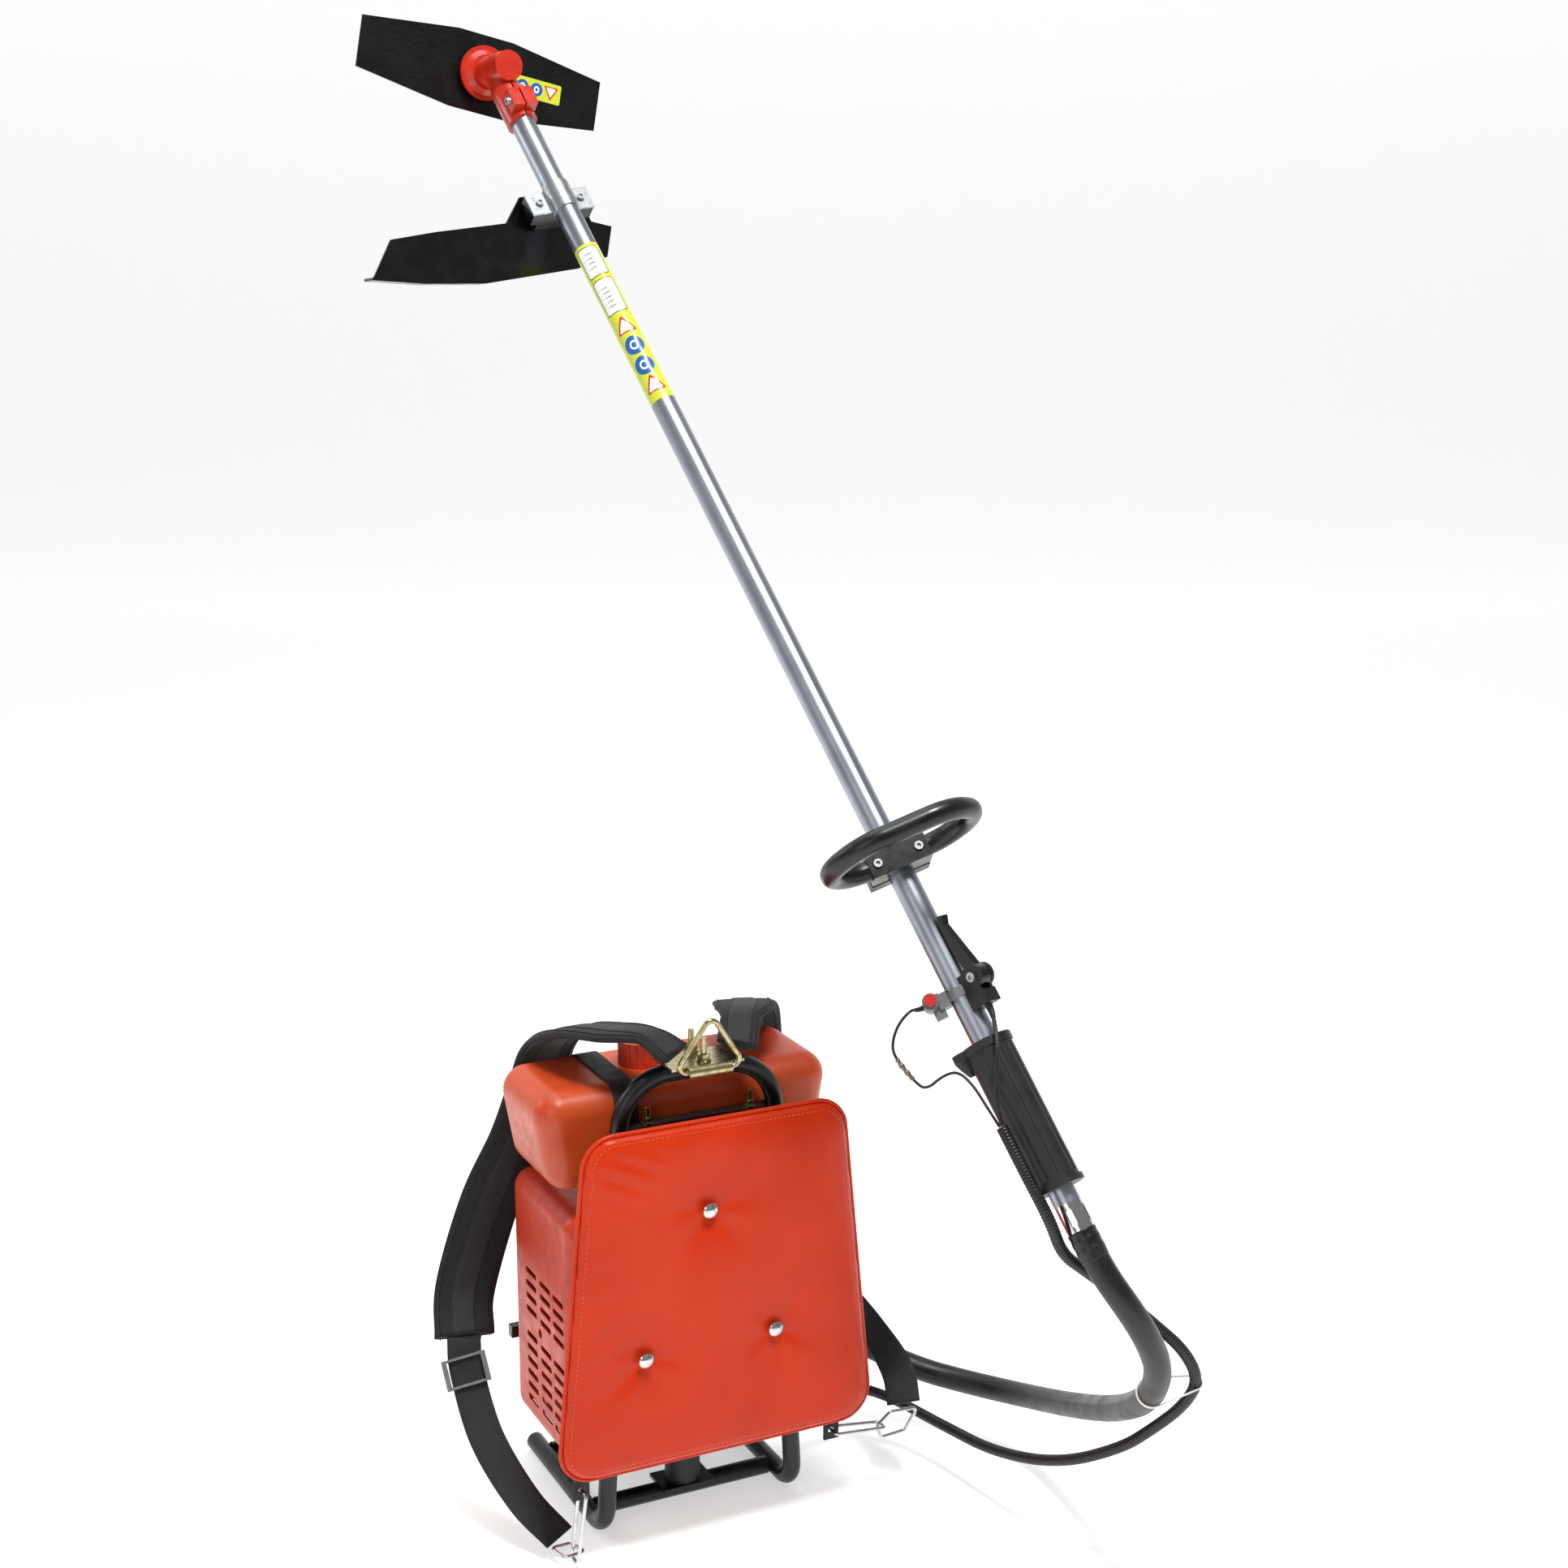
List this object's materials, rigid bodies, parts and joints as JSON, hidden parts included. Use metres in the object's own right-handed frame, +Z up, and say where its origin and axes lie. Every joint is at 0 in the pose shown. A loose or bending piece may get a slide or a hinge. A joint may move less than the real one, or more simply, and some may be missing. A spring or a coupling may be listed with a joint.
{
  "type": "knapsack brush cutter",
  "caption": "Knapsack brush cutter: padded back frame with engine, fuel tank and straps, joined by a flexible drive hose to a long wand with loop handle, guard and flat cutting blade.",
  "frame": {"origin": "on the floor, under the middle of the solid parts (cords left out)", "axes": "+Z up, -Y towards the wearer and the front of the back pad, +X to the hose side"},
  "size_m": [0.6439, 1.0083, 1.6342],
  "materials": {
    "red_paint": "gloss",
    "steel": "satin",
    "zinc": "satin",
    "yellow_zinc": "satin",
    "black_paint": "satin",
    "brown_paint": "satin",
    "blade_coat": "satin",
    "tube_alloy": "satin",
    "cast_alloy": "rough",
    "bright": "polished",
    "black_plastic": "satin",
    "gloss_black": "gloss",
    "switch_grey": "satin",
    "red_plastic": "gloss",
    "black_rubber": "matte",
    "vinyl": "satin",
    "tank_plastic": "translucent",
    "shroud_plastic": "gloss",
    "webbing": "woven"
  },
  "bodies": {
    "machine": {"gearhead_case": "red_paint", "gearhead_bearings": "steel", "wand_screws": "zinc", "wand_tube": "tube_alloy", "shaft_bushes": "black_rubber", "blade_guard": "gloss_black", "guard_bracket": "zinc", "loop_handle": "black_plastic", "loop_clamp": "black_plastic", "throttle_housing": "black_plastic", "switch_body": "switch_grey", "rear_grip": "black_rubber", "wand_ferrule": "bright", "back_frame": "black_paint", "back_pad": "vinyl", "pad_board": "black_paint", "pad_buttons": "bright", "ring_plate": "yellow_zinc", "strap_ring": "yellow_zinc", "frame_bolts": "yellow_zinc", "fuel_tank": "tank_plastic", "tank_band": "webbing", "tank_bracket": "brown_paint", "damper_mounts": "black_rubber", "engine_carrier": "black_paint", "crankcase": "cast_alloy", "cylinder_block": "cast_alloy", "spark_plug": "black_rubber", "engine_bearings": "steel", "engine_shroud": "shroud_plastic", "clutch_housing": "cast_alloy", "hose_coupling": "bright", "carburettor": "cast_alloy", "air_cleaner": "black_plastic", "muffler": "black_paint", "left_strap": "webbing", "right_strap": "webbing", "strap_hardware": "bright", "drive_hose": "black_rubber", "cable_conduit": "black_plastic", "throttle_cable": "black_plastic", "switch_wire": "black_plastic"},
    "blade_set": {"driven_gear": "steel", "blade_spindle": "steel", "blade_flange": "zinc", "cutting_blade": "blade_coat", "blade_nut": "zinc"},
    "shaft_set": {"drive_shaft": "steel", "pinion_shaft": "steel"},
    "drum": {"clutch_drum": "steel"},
    "crank_set": {"crankshaft": "steel", "flywheel_fan": "cast_alloy"},
    "pulley": {"starter_pulley": "black_plastic"},
    "pull_grip": {"starter_grip": "black_plastic"},
    "lever": {"throttle_lever": "gloss_black"},
    "button": {"stop_button": "red_plastic"},
    "cap": {"fuel_cap": "shroud_plastic"}
  },
  "joints": [
    {"name": "blade_spin", "type": "hinge", "parent": "machine", "child": "blade_set", "pos_m": [-0.02494, 0.4242, 1.5769], "axis": [0.098, -0.9921, 0.0783], "continuous": true},
    {"name": "shaft_spin", "type": "hinge", "parent": "machine", "child": "shaft_set", "pos_m": [-0.02494, 0.4242, 1.5769], "axis": [0.1732, -0.6098, -0.7734], "continuous": true},
    {"name": "drum_spin", "type": "hinge", "parent": "machine", "child": "drum", "pos_m": [-0.00704, 0.026, 0.122], "axis": [1, 0, 0], "continuous": true},
    {"name": "crank_spin", "type": "hinge", "parent": "machine", "child": "crank_set", "pos_m": [-0.00704, 0.026, 0.122], "axis": [1, 0, 0], "continuous": true},
    {"name": "starter_pull", "type": "slide", "parent": "machine", "child": "pull_grip", "axis": [0, 1, 0], "range_m": [0, 0.25], "stiffness_N_per_m": 30, "springref_m": -0.1},
    {"name": "pulley_turn", "type": "hinge", "parent": "machine", "child": "pulley", "pos_m": [-0.12804, 0.026, 0.122], "axis": [1, 0, 0], "range_deg": [-480, 0]},
    {"name": "throttle", "type": "hinge", "parent": "machine", "child": "lever", "pos_m": [0.19235, -0.32667, 0.66859], "axis": [0.9252, 0.37, -0.0845], "range_deg": [0, 35]},
    {"name": "stop_press", "type": "slide", "parent": "machine", "child": "button", "axis": [0.4616, 0.744, -0.4832], "range_m": [0, 0.003], "stiffness_N_per_m": 400},
    {"name": "cap_turn", "type": "hinge", "parent": "machine", "child": "cap", "pos_m": [-0.03804, 0.004, 0.508], "axis": [0, 0, 1], "continuous": true}
  ],
  "couplings": [
    {"joint": "shaft_spin", "follows": "blade_spin", "ratio": -1.3636},
    {"joint": "drum_spin", "follows": "blade_spin", "ratio": 1.3636},
    {"joint": "pulley_turn", "follows": "starter_pull", "rad_per_m": -33}
  ]
}
